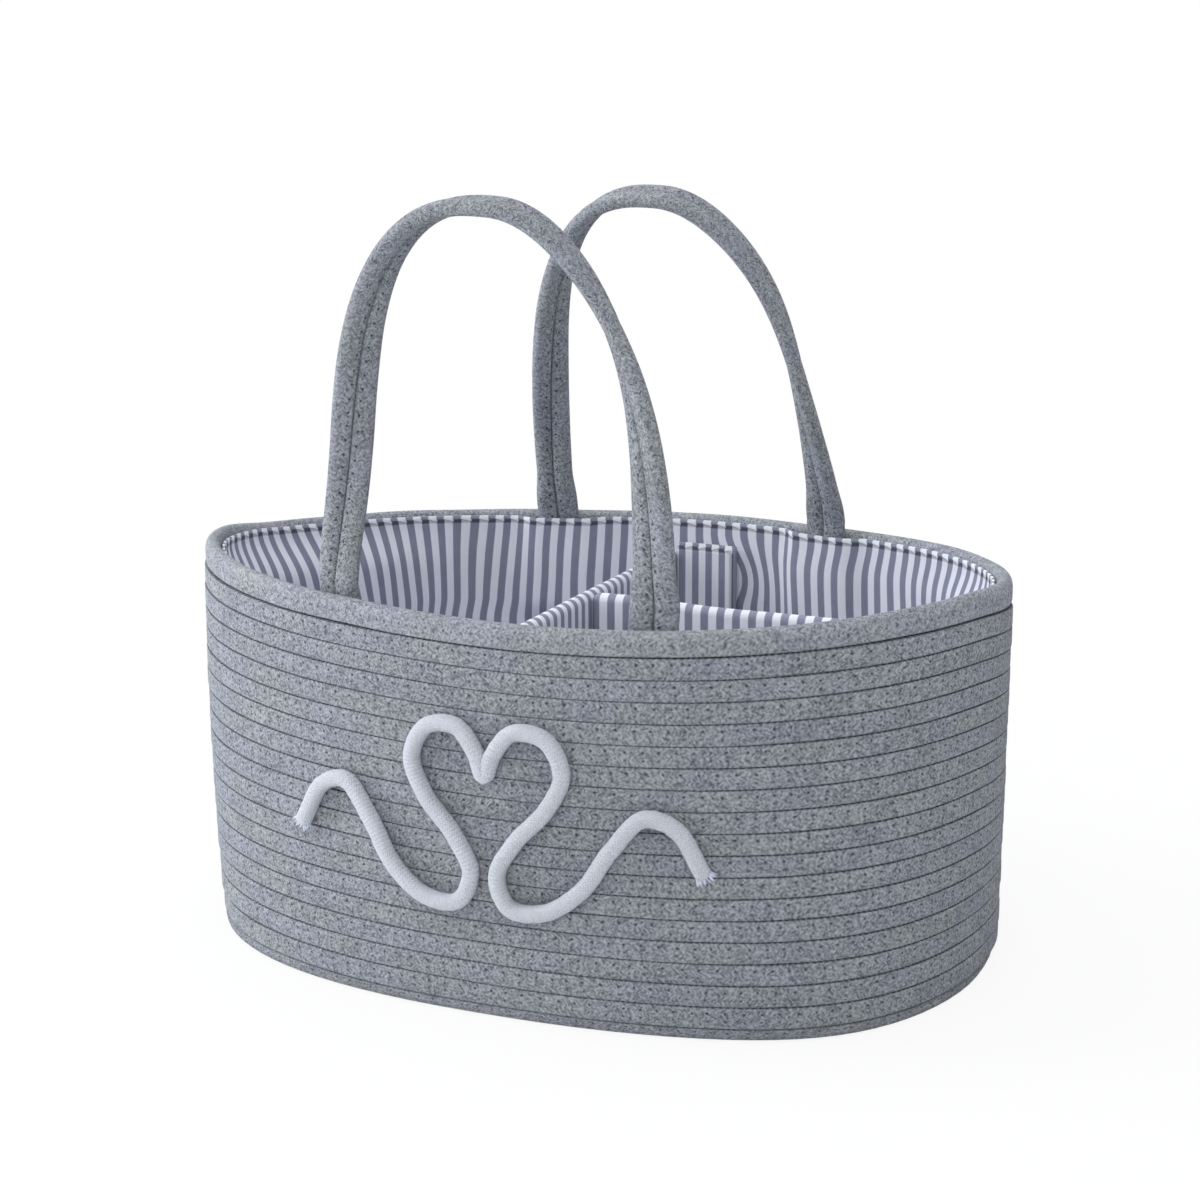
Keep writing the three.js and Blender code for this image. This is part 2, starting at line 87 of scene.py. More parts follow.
# Table and light: a plain white table that keeps a soft shadow, three large soft lamps, and a
# small low one that lights the left end from outside. All lamps aim at the basket.
TABLE_SIZE = 9
TABLE_DROP = 0.0004
TABLE_TONE = (0.86, 0.86, 0.86, 1)
WHITE = (1, 1, 1, 1)
SHADOW_SHARE = 0.11
SHADOW_FADE = (0.24, 0.62)
LAMP_AIM = Vector((0, 0, 0.12))
SKY_TINT = (0.93, 0.96, 1, 1)
SKY_STRENGTH = 0.5
LAMPS = [
    ("window_lamp", (-2.4, -0.5, 1.5), 1.8, 44, (0.93, 0.96, 1.0)),
    ("low_lamp", (-1.6, -0.5, 0.16), 0.3, 9, (0.93, 0.96, 1.0)),
    ("front_lamp", (0.5, -2.2, 1.8), 1.8, 20, (1.0, 1.0, 0.95)),
    ("top_lamp", (-0.2, 0.3, 2.6), 2.2, 28, (0.96, 0.98, 1.0)),
]


class Field:
    """One output of a node. A sum on fields adds the nodes that work it out."""

    def __init__(self, tree, socket=None):
        self.tree = tree
        self.socket = socket

    def node(self, kind, settings=None, sockets=None, outlet=0):
        made = self.tree.nodes.new("ShaderNode" + kind)
        for name, value in (settings or {}).items():
            setattr(made, name, value)
        for name, value in (sockets or {}).items():
            if isinstance(value, Field):
                self.tree.links.new(value.socket, made.inputs[name])
            else:
                made.inputs[name].default_value = value
        return Field(self.tree, made.outputs[outlet] if made.outputs else None)

    def maths(self, operation, *others):
        operands = dict(enumerate((self, *others)))
        return self.node("Math", {"operation": operation}, operands)

    def __add__(self, other):
        return self.maths("ADD", other)

    __radd__ = __add__

    def __mul__(self, other):
        return self.maths("MULTIPLY", other)

    __rmul__ = __mul__

    def __sub__(self, other):
        return self.maths("SUBTRACT", other)

    def __rsub__(self, other):
        return self * -1 + other

    def __truediv__(self, other):
        return self.maths("DIVIDE", other)

    def __mod__(self, other):
        return self.maths("FLOORED_MODULO", other)

    def rise(self, low, high):
        """0 below low and 1 above high, with a soft step between them."""
        settings = {"interpolation_type": "SMOOTHSTEP"}
        return self.node("MapRange", settings, {"Value": self, "From Min": low, "From Max": high})

    def fall(self, low, high):
        return 1 - self.rise(low, high)

    def blend_colours(self, first, second):
        """The first colour where this field is 0 and the second where it is 1."""
        return self.node("Mix", {"data_type": "RGBA"}, {0: self, 6: first, 7: second}, outlet=2)


def new_material(name):
    material = bpy.data.materials.new(name)
    material.use_nodes = True
    tree = material.node_tree
    tree.nodes.clear()
    return material, Field(tree)


def seen_plain(field):
    """1 for what the eye, a mirror or glass sees straight, and 0 for the light on the caddy."""
    seen = field.node("LightPath")
    outlets = seen.socket.node.outputs
    for outlet in ("Is Glossy Ray", "Is Transmission Ray"):
        seen = seen.maths("MAXIMUM", Field(field.tree, outlets[outlet]))
    return seen


for name, place, size, watts, tint in LAMPS:
    bpy.ops.object.light_add(type="AREA", location=place)
    lamp = bpy.context.object
    lamp.name = name
    lamp.data.shape = "DISK"
    lamp.data.size = size
    lamp.data.energy = watts
    lamp.data.color = tint
    lamp.rotation_euler = (LAMP_AIM - Vector(place)).to_track_quat("-Z", "Y").to_euler()

world = bpy.data.worlds.new("studio")
bpy.context.scene.world = world
world.use_nodes = True
world.node_tree.nodes.clear()
sky = Field(world.node_tree)
ambient = sky.node("Background", None, {"Color": SKY_TINT, "Strength": SKY_STRENGTH})
backdrop = sky.node("Background", None, {"Color": WHITE, "Strength": 1.0})
mixed = sky.node("MixShader", None, {0: seen_plain(sky), 1: ambient, 2: backdrop})
sky.node("OutputWorld", None, {"Surface": mixed})

bpy.ops.mesh.primitive_plane_add(size=TABLE_SIZE, location=(0, 0, -TABLE_DROP))
table = bpy.context.object
table.name = "white_table"
bpy.ops.object.transform_apply(location=True)
table_white, field = new_material("white_table")
place = field.node("TexCoord", outlet=3)
reach = field.node("VectorMath", {"operation": "LENGTH"}, {0: place}, outlet=1)
matt = field.node("BsdfDiffuse", None, {"Color": TABLE_TONE})
glow = field.node("Emission", None, {"Color": WHITE, "Strength": 1.0})
glow_share = seen_plain(field) * (1 - SHADOW_SHARE + SHADOW_SHARE * reach.rise(*SHADOW_FADE))
lit = field.node("MixShader", None, {0: glow_share, 1: matt, 2: glow})
field.node("OutputMaterial", None, {"Surface": lit})
table.data.materials.append(table_white)


# Rope base: the first turns of the one heather cotton rope that the basket is wound from, laid
# flat from the middle outwards and sewn side by side. Its outer turn is pressed flatter by the
# wall that stands on it. The oval that it is wound to is the foot of the wall's shape.
WALL_HEIGHT = 0.169
RIM_HALF_LENGTH = 0.187
RIM_HALF_WIDTH = 0.123
BASE_HALF_LENGTH = 0.183
BASE_HALF_WIDTH = 0.1285
RIM_ROUNDNESS = 2.02
BASE_ROUNDNESS = 2.33
END_RISE = 0.0095
# The soft rim isn't level: degrees round the oval, and millimetres up.
RIM_LIFTS = [
    (0, -3.7), (20, -4), (40, -1.5), (60, 0), (80, 2), (90, 2.5), (100, 1), (120, -2),
    (140, -5.2), (152, -7.4), (160, -7.4), (171, -7.4), (178, -4.6), (184, -2.6), (200, 0),
    (230, 1), (256, 1.7), (275, 0), (300, -1.4), (325, -1), (345, -0.6), (352, -1.2), (360, -3.7),
]
RIM_LIFT_SOFTNESS = 16
LEFT_END_LEAN = 0.005
LEFT_END_TUCK = 0.0098
LEFT_END_SHARE = 0.3
FRONT_FULLNESS = 0.0022
# Extra roundness low on the front corners: degrees round the oval, and how much.
CORNER_ROUNDNESS = [(315, 0.3), (225, 0.07)]
CORNER_SPREAD = 30
WOUND_LOOPS = 17
LOOP_GAP = 0.0005
RIM_ROPE_HEIGHT = 0.0105
BASE_EDGE_HEIGHT = 0.0048
BASE_EDGE_INSET = 0.0004
PITCH = (WALL_HEIGHT - RIM_ROPE_HEIGHT - LOOP_GAP / 2 - BASE_EDGE_HEIGHT) / WOUND_LOOPS
CLIMB_START = math.radians(60)
CLIMB_SHARE = 0.2
ROPE_SIDES = 24
# How square a rope is pressed, on the half at its seam and on the half opposite.
ROPE_ROUNDNESS = (14, 14)
# A cut rope end: how far out each ring stands, in half widths, and how much is left of its size.
ROPE_END_RINGS = [(0.35, 0.86), (0.6, 0.45)]
BASE_TURNS = 14.45
BASE_TURN_STEPS = 96
BASE_FULL_TURN = 0.35
BASE_ROPE_SIDES = 12
BASE_ROPE_ROUNDNESS = (3.5, 3.5)
UP = Vector((0, 0, 1))


def mix(start, end, share):
    return start + (end - start) * share


def smooth(share):
    held = min(max(share, 0.0), 1.0)
    return held * held * (3 - 2 * held)


def power(value, exponent):
    return math.copysign(abs(value) ** exponent, value)


def bell(distance):
    return math.exp(-(distance**2))


places, lifts = zip(*RIM_LIFTS)
half_degrees = np.interp(np.arange(720) / 2, places, lifts) / 1000
shifts = range(-RIM_LIFT_SOFTNESS, RIM_LIFT_SOFTNESS + 1)
rim_lifts = (sum(np.roll(half_degrees, shift) for shift in shifts) / len(shifts)).tolist()


def rim_lift(angle):
    place = math.degrees(angle) * 2 % 720
    before = int(place)
    return mix(rim_lifts[before % 720], rim_lifts[(before + 1) % 720], place - before)


def wall_point(angle, height, inset=0.0):
    """The middle of the wall's rope at an angle round the oval."""
    share = height / WALL_HEIGHT
    low = max(1 - share, 0)
    half_length = mix(BASE_HALF_LENGTH, RIM_HALF_LENGTH, share) - inset
    half_width = mix(BASE_HALF_WIDTH, RIM_HALF_WIDTH, share) - inset
    half_width += FRONT_FULLNESS * low**3 * smooth(-2 * math.sin(angle))
    degrees = math.degrees(angle) % 360
    corners = low * sum(
        gain * bell((degrees - middle) / CORNER_SPREAD) for middle, gain in CORNER_ROUNDNESS
    )
    exponent = 2 / (mix(BASE_ROUNDNESS, RIM_ROUNDNESS, share) + corners)
    along = power(math.cos(angle), exponent)
    lean = LEFT_END_LEAN - LEFT_END_TUCK * low**2.4
    x = half_length * along - lean * smooth((-along - LEFT_END_SHARE) / (1 - LEFT_END_SHARE))
    y = half_width * power(math.sin(angle), exponent)
    return Vector((x, y, height + share * (END_RISE * along**2 + rim_lift(angle))))


def wall_outward(angle, height, inset=0.0):
    """The level direction straight out of the wall."""
    reach = 0.004
    chord = wall_point(angle + reach, height, inset) - wall_point(angle - reach, height, inset)
    return Vector((chord.y, -chord.x, 0)).normalized()


def placed(name, mesh):
    """A new object of a mesh, active and the only one selected."""
    piece = bpy.data.objects.new(name, mesh)
    bpy.context.collection.objects.link(piece)
    bpy.ops.object.select_all(action="DESELECT")
    bpy.context.view_layer.objects.active = piece
    piece.select_set(True)
    return piece


def rope_mesh(name, runs, sides=ROPE_SIDES, roundness=ROPE_ROUNDNESS, closed=False, start=0.0):
    """A rope of oblong section. Each run is its middle, the directions to one face and to
    the seam, and half its size in each. The lay map holds millimetres along and around it,
    and the seam attribute is 1 at the seam, 0 half way down the face and -1 opposite."""
    section = []
    for side in range(sides):
        turn = 2 * math.pi * side / sides
        exponent = 2 / (roundness[0] if math.cos(turn) > 0 else roundness[1])
        section.append((power(math.sin(turn), exponent), power(math.cos(turn), exponent)))
    if not closed:
        for end, neighbour in ((0, 1), (-1, -2)):
            middle, face, seam, half_face, half_seam = runs[end]
            outwards = (middle - runs[neighbour][0]).normalized() * half_face
            rings = [
                (middle + outwards * out, face, seam, half_face * left, half_seam * left)
                for out, left in ROPE_END_RINGS
            ]
            runs = rings[::-1] + runs if end == 0 else runs + rings
    points = []
    for middle, face, seam, half_face, half_seam in runs:
        points += [middle + face * (half_face * f) + seam * (half_seam * s) for f, s in section]
    count = len(runs)
    spans = count if closed else count - 1
    faces = []
    for run in range(spans):
        here = run * sides
        after = (run + 1) % count * sides
        for side in range(sides):
            beside = (side + 1) % sides
            faces.append((here + side, here + beside, after + beside, after + side))
    if not closed:
        faces.append(tuple(range(sides - 1, -1, -1)))
        faces.append(tuple(range((count - 1) * sides, count * sides)))
    mesh = bpy.data.meshes.new(name)
    mesh.from_pydata(points, [], faces)
    middles = np.array([run[0] for run in runs])
    steps = np.linalg.norm(np.diff(np.vstack([middles, middles[:1]]), axis=0), axis=1)
    along = np.concatenate([[0], np.cumsum(steps)]) * 1000 + start
    half_face, half_seam = runs[len(runs) // 2][3:]
    ring = np.array([(f * half_face, s * half_seam) for f, s in section + section[:1]])
    around = np.concatenate([[0], np.cumsum(np.linalg.norm(np.diff(ring, axis=0), axis=1))]) * 1000
    lay = np.zeros((len(mesh.loops), 2))
    for run in range(spans):
        for side in range(sides):
            first = (run * sides + side) * 4
            lay[first:first + 4, 0] = along[run], along[run], along[run + 1], along[run + 1]
            lay[first:first + 4, 1] = around[side], around[side + 1], around[side + 1], around[side]
    mesh.uv_layers.new(name="lay").data.foreach_set("uv", lay.ravel())
    seams = np.tile([s for f, s in section], count)
    mesh.attributes.new("seam", "FLOAT", "POINT").data.foreach_set("value", seams)
    piece = placed(name, mesh)
    bpy.ops.object.mode_set(mode="EDIT")
    bpy.ops.mesh.select_all(action="SELECT")
    bpy.ops.mesh.normals_make_consistent(inside=False)
    bpy.ops.object.mode_set(mode="OBJECT")
    bpy.ops.object.shade_smooth()
    return piece


# The finish of the rope: sizes in millimetres but for the bump, which is in metres.
STRAND = 2.2
YARNS = 3
STRAND_SWAY = 4.5
STITCH_PITCH = 2.6
HOLE_RADIUS = 0.6
ROPE_BUMP = 0.00035
COTTON_SHINE = 0.15


def srgb(red, green, blue):
    """A colour given in 0 to 255, as a linear colour with full alpha."""
    return (*(((c / 255 + 0.055) / 1.055) ** 2.4 for c in (red, green, blue)), 1)


ROPE_LIGHT = srgb(197, 201, 213)
ROPE_LIGHT_WARM = srgb(198, 203, 207)
ROPE_DARK = srgb(70, 73, 82)
# Dark stitches, and painted shade in the groove where ropes meet and in the needle holes.
STITCH_AND_PAINTED_SHADE = srgb(60, 64, 78)


def finish_surface(field, colour, roughness, height, depth, sheen=0.0):
    """Ends a cloth material: colour and roughness fields, and a height field in bump metres."""
    bump = field.node("Bump", None, {"Strength": 1.0, "Distance": depth, "Height": height})
    sockets = {
        "Base Color": colour,
        "Roughness": roughness,
        "Specular IOR Level": COTTON_SHINE,
        "Sheen Weight": sheen,
        "Normal": bump,
    }
    field.node("OutputMaterial", None, {"Surface": field.node("BsdfPrincipled", None, sockets)})


def map_parts(field, name):
    """A UV map, and its two numbers apart."""
    whole = field.node("UVMap", {"uv_map": name})
    first = field.node("SeparateXYZ", None, {0: whole})
    return whole, first, Field(field.tree, first.socket.node.outputs[1])


def grain(field, place, scale, detail, roughness=0.5):
    """Soft noise from 0 to 1, finer with a larger scale."""
    sockets = {"Vector": place, "Scale": scale, "Detail": detail, "Roughness": roughness}
    return field.node("TexNoise", None, sockets)


def from_middle(share):
    """How far a share is from one half, either way."""
    return (share - 0.5).maths("ABSOLUTE")


def heather_rope(name, seams, holes, hole_pitch=7.2, paleness=0.69):
    """Heather cotton braid: slanting strands of light and dark yarns, each yarn darker at its edges
    as painted shade, dark stitches with painted shade in the groove where ropes meet, and rows
    of needle holes beside them, painted dark as shade. Seams and holes are pairs of a place on
    the rope, as the seam attribute gives it, and a strength."""
    material, field = new_material(name)
    lay, along, around = map_parts(field, "lay")
    seam = field.node("Attribute", {"attribute_name": "seam"}, outlet=2)
    drift = grain(field, lay, 0.05, 1.0)
    tint = grain(field, lay, 0.022, 1.0)
    slanted = around + along * 0.06 + drift * STRAND_SWAY
    first = (along + slanted) / STRAND
    second = (along - slanted) / STRAND
    over = ((first.maths("FLOOR") - second.maths("FLOOR")) % 4).maths("LESS_THAN", 2)
    across = over * first + (1 - over) * second
    lengthwise = over * second + (1 - over) * first
    yarn = across * YARNS
    edge = from_middle(yarn % 1) * 2
    yarn_place = {0: yarn.maths("FLOOR") * 3.7 + over * 31, 1: lengthwise * 0.85, 2: edge * 0.4}
    heather = grain(field, field.node("CombineXYZ", None, yarn_place), 1.0, 1.0)
    fuzz = grain(field, lay, 2.3, 2.0, 0.7)
    tone = (heather - 0.5) * 2.4 + (fuzz - 0.5) * 0.9 + (drift - 0.5) * 0.25
    # Each yarn is darker towards its edges: painted shade between the yarns.
    tone = tone - edge * edge * 0.7 + paleness
    light = tint.rise(0.4, 0.6).blend_colours(ROPE_LIGHT, ROPE_LIGHT_WARM)
    colour = tone.rise(-0.35, 1.35).blend_colours(ROPE_DARK, light)
    height = heather * 0.5 + fuzz * 0.25 - edge * edge * 0.6
    # The seams are dark stitches with painted shade in the groove where the ropes meet. The needle
    # holes are painted shade.
    shade = None
    stray = along + drift * 6
    for way, strength in seams:
        dots = from_middle((stray % STITCH_PITCH) / STITCH_PITCH).fall(0.12, 0.36)
        dashes = dots * 0.8 + 0.1 + (drift - 0.5) * 0.9
        mark = (seam * way).rise(0.95, 0.995) * dashes * strength
        shade = mark if shade is None else shade.maths("MAXIMUM", mark)
    for place, strength in holes:
        spot_along = (stray % hole_pitch - hole_pitch / 2) / HOLE_RADIUS
        spot_down = (seam + (drift - 0.5) * 0.25 - place) / 0.12
        spot = (spot_along * spot_along + spot_down * spot_down).fall(0.4, 1.7) * strength
        shade = shade.maths("MAXIMUM", spot)
    colour = (shade * 0.9).blend_colours(colour, STITCH_AND_PAINTED_SHADE)
    finish_surface(field, colour, 0.93, height - shade * 0.8, ROPE_BUMP, sheen=0.12)
    return material


def own(piece, material):
    piece.data.materials.append(material)
    return piece


wall_rope = heather_rope("wall_rope", [(1, 1), (-1, 1)], [(0.46, 1), (-0.3, 0.7)])
runs = []
for step in range(int(BASE_TURNS * BASE_TURN_STEPS) + 1):
    turn = step / BASE_TURN_STEPS
    angle = CLIMB_START + 2 * math.pi * turn
    stepped = 1 - smooth((1 - turn % 1) / CLIMB_SHARE)
    inset = BASE_EDGE_INSET + PITCH * (int(turn) + stepped)
    risen = smooth(turn - BASE_FULL_TURN) if turn > 1 else stepped * 0.5
    height = mix(BASE_EDGE_HEIGHT, PITCH, risen)
    middle = wall_point(angle, 0.0, inset)
    middle.z = height / 2
    runs.append((middle, -UP, wall_outward(angle, 0.0, inset), height / 2, PITCH / 2))
base = own(
    rope_mesh("base_rope", runs, BASE_ROPE_SIDES, BASE_ROPE_ROUNDNESS), wall_rope
)
# The outer turn shows its side, so its seam is where the wall's first loop lies on it.
seams = [0.0] * len(base.data.vertices)
base.data.attributes["seam"].data.foreach_get("value", seams)
for vertex in base.data.vertices[:BASE_ROPE_SIDES * BASE_TURN_STEPS]:
    seams[vertex.index] = 2 * vertex.co.z / BASE_EDGE_HEIGHT - 1
base.data.attributes["seam"].data.foreach_set("value", seams)
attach(base, "basket")
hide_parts("rope_base")


# Rope wall: the same rope wound on upwards in an oval spiral, each loop sewn to the one under
# it by a zigzag stitch. It starts on the outer turn of the base, which stays half in sight.
# Each loop climbs in the same part of its turn, at the right end, where the tail thins out.
TURN_STEPS = 144
ROPE_HALF_WIDTH = 0.0041
ROPE_WANDER = 0.00035
TAIL_SHARE = 0.94
TAIL_NARROWING = 0.45


def wound_run(step):
    """One run of the wound rope: its place on the wall and its size, which thins at the tail."""
    loop = step // TURN_STEPS
    climbed = smooth(step % TURN_STEPS / TURN_STEPS / CLIMB_SHARE)
    angle = CLIMB_START - 2 * math.pi * step / TURN_STEPS
    height = BASE_EDGE_HEIGHT + PITCH * (loop - 0.5 + climbed)
    inset = 0.0
    half_width, half_height = ROPE_HALF_WIDTH, PITCH / 2
    if loop == 0:
        height = mix(BASE_EDGE_HEIGHT, BASE_EDGE_HEIGHT * 2 + PITCH, climbed) / 2
        half_height = mix(BASE_EDGE_HEIGHT, PITCH, climbed) / 2
        inset = BASE_EDGE_INSET * (1 - climbed)
    if loop == WOUND_LOOPS:
        height = BASE_EDGE_HEIGHT + PITCH * WOUND_LOOPS - PITCH * (1 - climbed) / 2
        half_height *= 1 - climbed
        half_width *= 1 - TAIL_NARROWING * climbed
    spot = Vector((3 * math.cos(angle), 3 * math.sin(angle), loop * 1.7))
    middle = wall_point(angle, height, inset - ROPE_WANDER * noise.noise(spot))
    return (middle, wall_outward(angle, height), UP, half_width, half_height)


tail_steps = int(TURN_STEPS * CLIMB_SHARE * TAIL_SHARE)
runs = [wound_run(step) for step in range(WOUND_LOOPS * TURN_STEPS + tail_steps + 1)]
wound_rope = own(rope_mesh("wound_rope", runs), wall_rope)
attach(wound_rope, "basket")
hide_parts("rope_wall")


# Rope rim: one closed loop of the same rope, pressed taller, sewn on over the thinned tail.
# It is rounded on top, and its stitches are closer than the wall's.
RIM_HALF_ROPE = RIM_ROPE_HEIGHT / 2
RIM_HALF_THICK = 0.0036
RIM_ROPE_ROUNDNESS = (2.4, 14)
RIM_STEPS = 288
RIM_WAVE = 0.0003
# The rim's rope is drawn paler than the wall's: painted light, where more light falls on the rim's
# top.
rim_rope = heather_rope("rim_rope", [(-1, 0.7)], [(-0.05, 0.6)], hole_pitch=4.2, paleness=0.79)
runs = []
for step in range(RIM_STEPS):
    angle = 2 * math.pi * step / RIM_STEPS
    wave = RIM_WAVE * noise.noise(Vector((4 * math.cos(angle), 4 * math.sin(angle), 9)))
    middle = wall_point(angle, WALL_HEIGHT - RIM_HALF_ROPE) + Vector((0, 0, wave))
    runs.append((middle, wall_outward(angle, WALL_HEIGHT), UP, RIM_HALF_THICK, RIM_HALF_ROPE))
rim = own(
    rope_mesh("rim_rope", runs, roundness=RIM_ROPE_ROUNDNESS, closed=True), rim_rope
)
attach(rim, "basket")
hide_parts("rope_rim")


# Handles: each is a strap of two ropes side by side, sewn together down the middle. The strap
# faces out at its feet and twists to lie flat at the top. Its ends are pressed between the
# rim and the lining and sewn there.
HANDLE_SPACING = 0.144
HANDLE_RISE = 0.161
STRAP_ROPE_HALF = 0.0047
STRAP_ROPE_THICK = 0.0037
STRAP_ROPE_OFFSET = 0.0046
STRAP_ROPE_SIDES = 20
STRAP_ROPE_ROUNDNESS = (3.2, 2.3)
LEFT_SHOULDER_ROUNDNESS = 2.8
RIGHT_SHOULDER_ROUNDNESS = 2.05
TWIST_ANGLE = math.radians(94)
TWIST_POWERS = {"front": (1.0, 0.8), "back": (0.75, 0.34)}
# Soft bends of each strap: share of its length from the left foot, and millimetres outwards.
STRAP_BENDS = {
    "front": [
        (0, 5.6), (0.03, 4), (0.06, 1.9), (0.12, -1.9), (0.2, -2.2), (0.27, -1), (0.33, 0),
        (0.42, 0.9), (0.48, 1.9), (0.52, 0), (0.56, -1.9), (0.62, -1.1), (0.67, 0), (0.73, 1.5),
        (0.8, 1.3), (0.86, 0), (0.92, -1.1), (1, -1.6),
    ],
    "back": [
        (0, -2.6), (0.1, -3.5), (0.2, -4), (0.3, -2.6), (0.4, -1.7), (0.47, 0), (0.56, -2.9),
        (0.66, -0.2), (0.71, 1), (0.8, -0.4), (0.88, -0.3), (0.94, 1.5), (1, 3.1),
    ],
}
BEND_SOFTNESS = 8
BACK_HANDLE_LEAN = 12
ARCH_STEPS = 150
ARCH_FINE_STEPS = 4000
FLARE_SHARE = 0.09
FOOT_ROPE_HALF = 0.0053
FOOT_ROPE_THICK = 0.0030
FOOT_ROPE_OFFSET = 0.0052
FOOT_DEPTH = 0.0072
FOOT_DROP = 0.004
FOOT_LENGTH = 0.046
FOOT_PRESS_LENGTH = 0.012
FOOT_STEPS = 12
FOLD_BELOW = 0.012
FOLD_ABOVE = 0.016
HALVINGS = 40


def halved(low, high, too_low):
    """The number between low and high at which a test stops holding."""
    for halving in range(HALVINGS):
        middle = (low + high) / 2
        if too_low(middle):
            low = middle
        else:
            high = middle
    return middle


def inside_point(angle, height, depth):
    return wall_point(angle, height) - depth * wall_outward(angle, height)


def wall_angle(side, place, height, depth=0.0):
    """The angle where the wall's face at a depth reaches a place in x, on the front or back."""
    return side * halved(
        0.0, math.pi, lambda turn: inside_point(side * turn, height, depth).x > place
    )


def arch_point(share):
    turn = math.pi * share
    exponent = 2 / (LEFT_SHOULDER_ROUNDNESS if share < 0.5 else RIGHT_SHOULDER_ROUNDNESS)
    x = -HANDLE_SPACING / 2 * power(math.cos(turn), exponent)
    return Vector((x, 0, HANDLE_RISE * power(math.sin(turn), exponent)))


def evenly(fine, steps):
    """Points along a finely drawn line, evenly spaced by length."""
    lengths = [0.0]
    for before, after in zip(fine, fine[1:]):
        lengths.append(lengths[-1] + (after - before).length)
    even = []
    at = 0
    for step in range(steps + 1):
        wanted = lengths[-1] * step / steps
        while at < len(lengths) - 2 and lengths[at + 1] < wanted:
            at += 1
        share = (wanted - lengths[at]) / (lengths[at + 1] - lengths[at])
        even.append(fine[at].lerp(fine[at + 1], share))
    return even


def strap_bends(name):
    """How far the strap bends outwards at each step of its arch."""
    shares, bends = zip(*STRAP_BENDS[name])
    steps = np.arange(-BEND_SOFTNESS, ARCH_STEPS + BEND_SOFTNESS + 1)
    fine = np.interp(steps / ARCH_STEPS, shares, bends) / 1000
    window = 2 * BEND_SOFTNESS + 1
    return [float(fine[step:step + window].mean()) for step in range(ARCH_STEPS + 1)]


def foot_places(name):
    """The place in x of each foot of a strap, and the way across it, left foot first."""
    bends = strap_bends(name)
    return [(-HANDLE_SPACING / 2 - bends[0], 1), (HANDLE_SPACING / 2 + bends[-1], -1)]


def tangents(line):
    last = len(line) - 1
    return [
        (line[min(step + 1, last)] - line[max(step - 1, 0)]).normalized()
        for step in range(last + 1)
    ]


def strap_runs(name, side, hinge, lean, rope_side):
    """The runs of one rope of a strap, from inside its left foot over the arch to the right."""
    leant = Matrix.Rotation(lean, 3, "X")
    bends = strap_bends(name)
    foot_across = []
    for x, way in foot_places(name):
        outward = wall_outward(wall_angle(side, x, hinge.z), hinge.z)
        foot_across.append(Vector((outward.y, -outward.x, 0)) * (side * way))
    fine = [arch_point(step / ARCH_FINE_STEPS) for step in range(ARCH_FINE_STEPS + 1)]
    arch = evenly(fine, ARCH_STEPS)
    bent = [
        point + bend * Vector((-tangent.z, 0, tangent.x))
        for point, bend, tangent in zip(arch, bends, tangents(arch))
    ]
    spine = []
    for step, (point, tangent) in enumerate(zip(bent, tangents(bent))):
        leg_share = 2 * min(step, ARCH_STEPS - step) / ARCH_STEPS
        twist_power = TWIST_POWERS[name][0 if step < ARCH_STEPS / 2 else 1]
        twist = TWIST_ANGLE * smooth(leg_share) ** twist_power
        across = Vector((tangent.z, 0, -tangent.x)) * math.cos(twist)
        across.y = math.sin(twist)
        flare = 1 - smooth(leg_share / FLARE_SHARE)
        across = (leant @ across).lerp(foot_across[step * 2 > ARCH_STEPS], flare).normalized()
        spine.append((hinge + leant @ point, across, leant @ tangent, flare))
    feet = []
    for (x, way), across in zip(foot_places(name), foot_across):
        foot = []
        for step in range(FOOT_STEPS):
            drop = FOOT_LENGTH * (step + 0.5) / FOOT_STEPS
            height = hinge.z - FOOT_DROP - drop
            middle = inside_point(wall_angle(side, x, height, FOOT_DEPTH), height, FOOT_DEPTH)
            middle.z = height
            foot.append((middle, across, UP * way, 1 + smooth(drop / FOOT_PRESS_LENGTH)))
        feet.append(foot)
    runs = []
    for middle, across, tangent, pressed in feet[0][::-1] + spine + feet[1]:
        flare = min(pressed, 1.0)
        offset = mix(STRAP_ROPE_OFFSET, FOOT_ROPE_OFFSET, flare)
        half_across = mix(STRAP_ROPE_HALF, FOOT_ROPE_HALF, flare)
        half_thick = mix(STRAP_ROPE_THICK, FOOT_ROPE_THICK, max(pressed - 1, 0))
        facing = across.cross(tangent)
        place = middle + across * (rope_side * offset)
        runs.append((place, facing * rope_side, across * -rope_side, half_thick, half_across))
    return runs


strap_rope = heather_rope("strap_rope", [(1, 0.75)], [(0.46, 1)], hole_pitch=6.0)
for name, side, lean in (("front", -1, 0), ("back", 1, math.radians(BACK_HANDLE_LEAN))):
    joint = next(j for j in frame["joints"] if j["name"] == f"{name}_handle_swing")
    hinge = Vector(joint["pos_m"])
    feet = [f"{name}_left_handle_foot", f"{name}_right_handle_foot"]
    for rope_name, rope_side, lay_start, held in (("inner", 1, 3.0, feet), ("outer", -1, 0.0, [])):
        rope = rope_mesh(
            f"{name}_strap_{rope_name}_rope",
            strap_runs(name, side, hinge, lean, rope_side),
            sides=STRAP_ROPE_SIDES,
            roundness=STRAP_ROPE_ROUNDNESS,
            start=lay_start,
        )
        own(rope, strap_rope)
        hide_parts(f"{name}_handle_{rope_name}_rope", *held)
        start, end = hinge - FOLD_BELOW * UP, hinge + FOLD_ABOVE * UP
        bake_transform(rope)


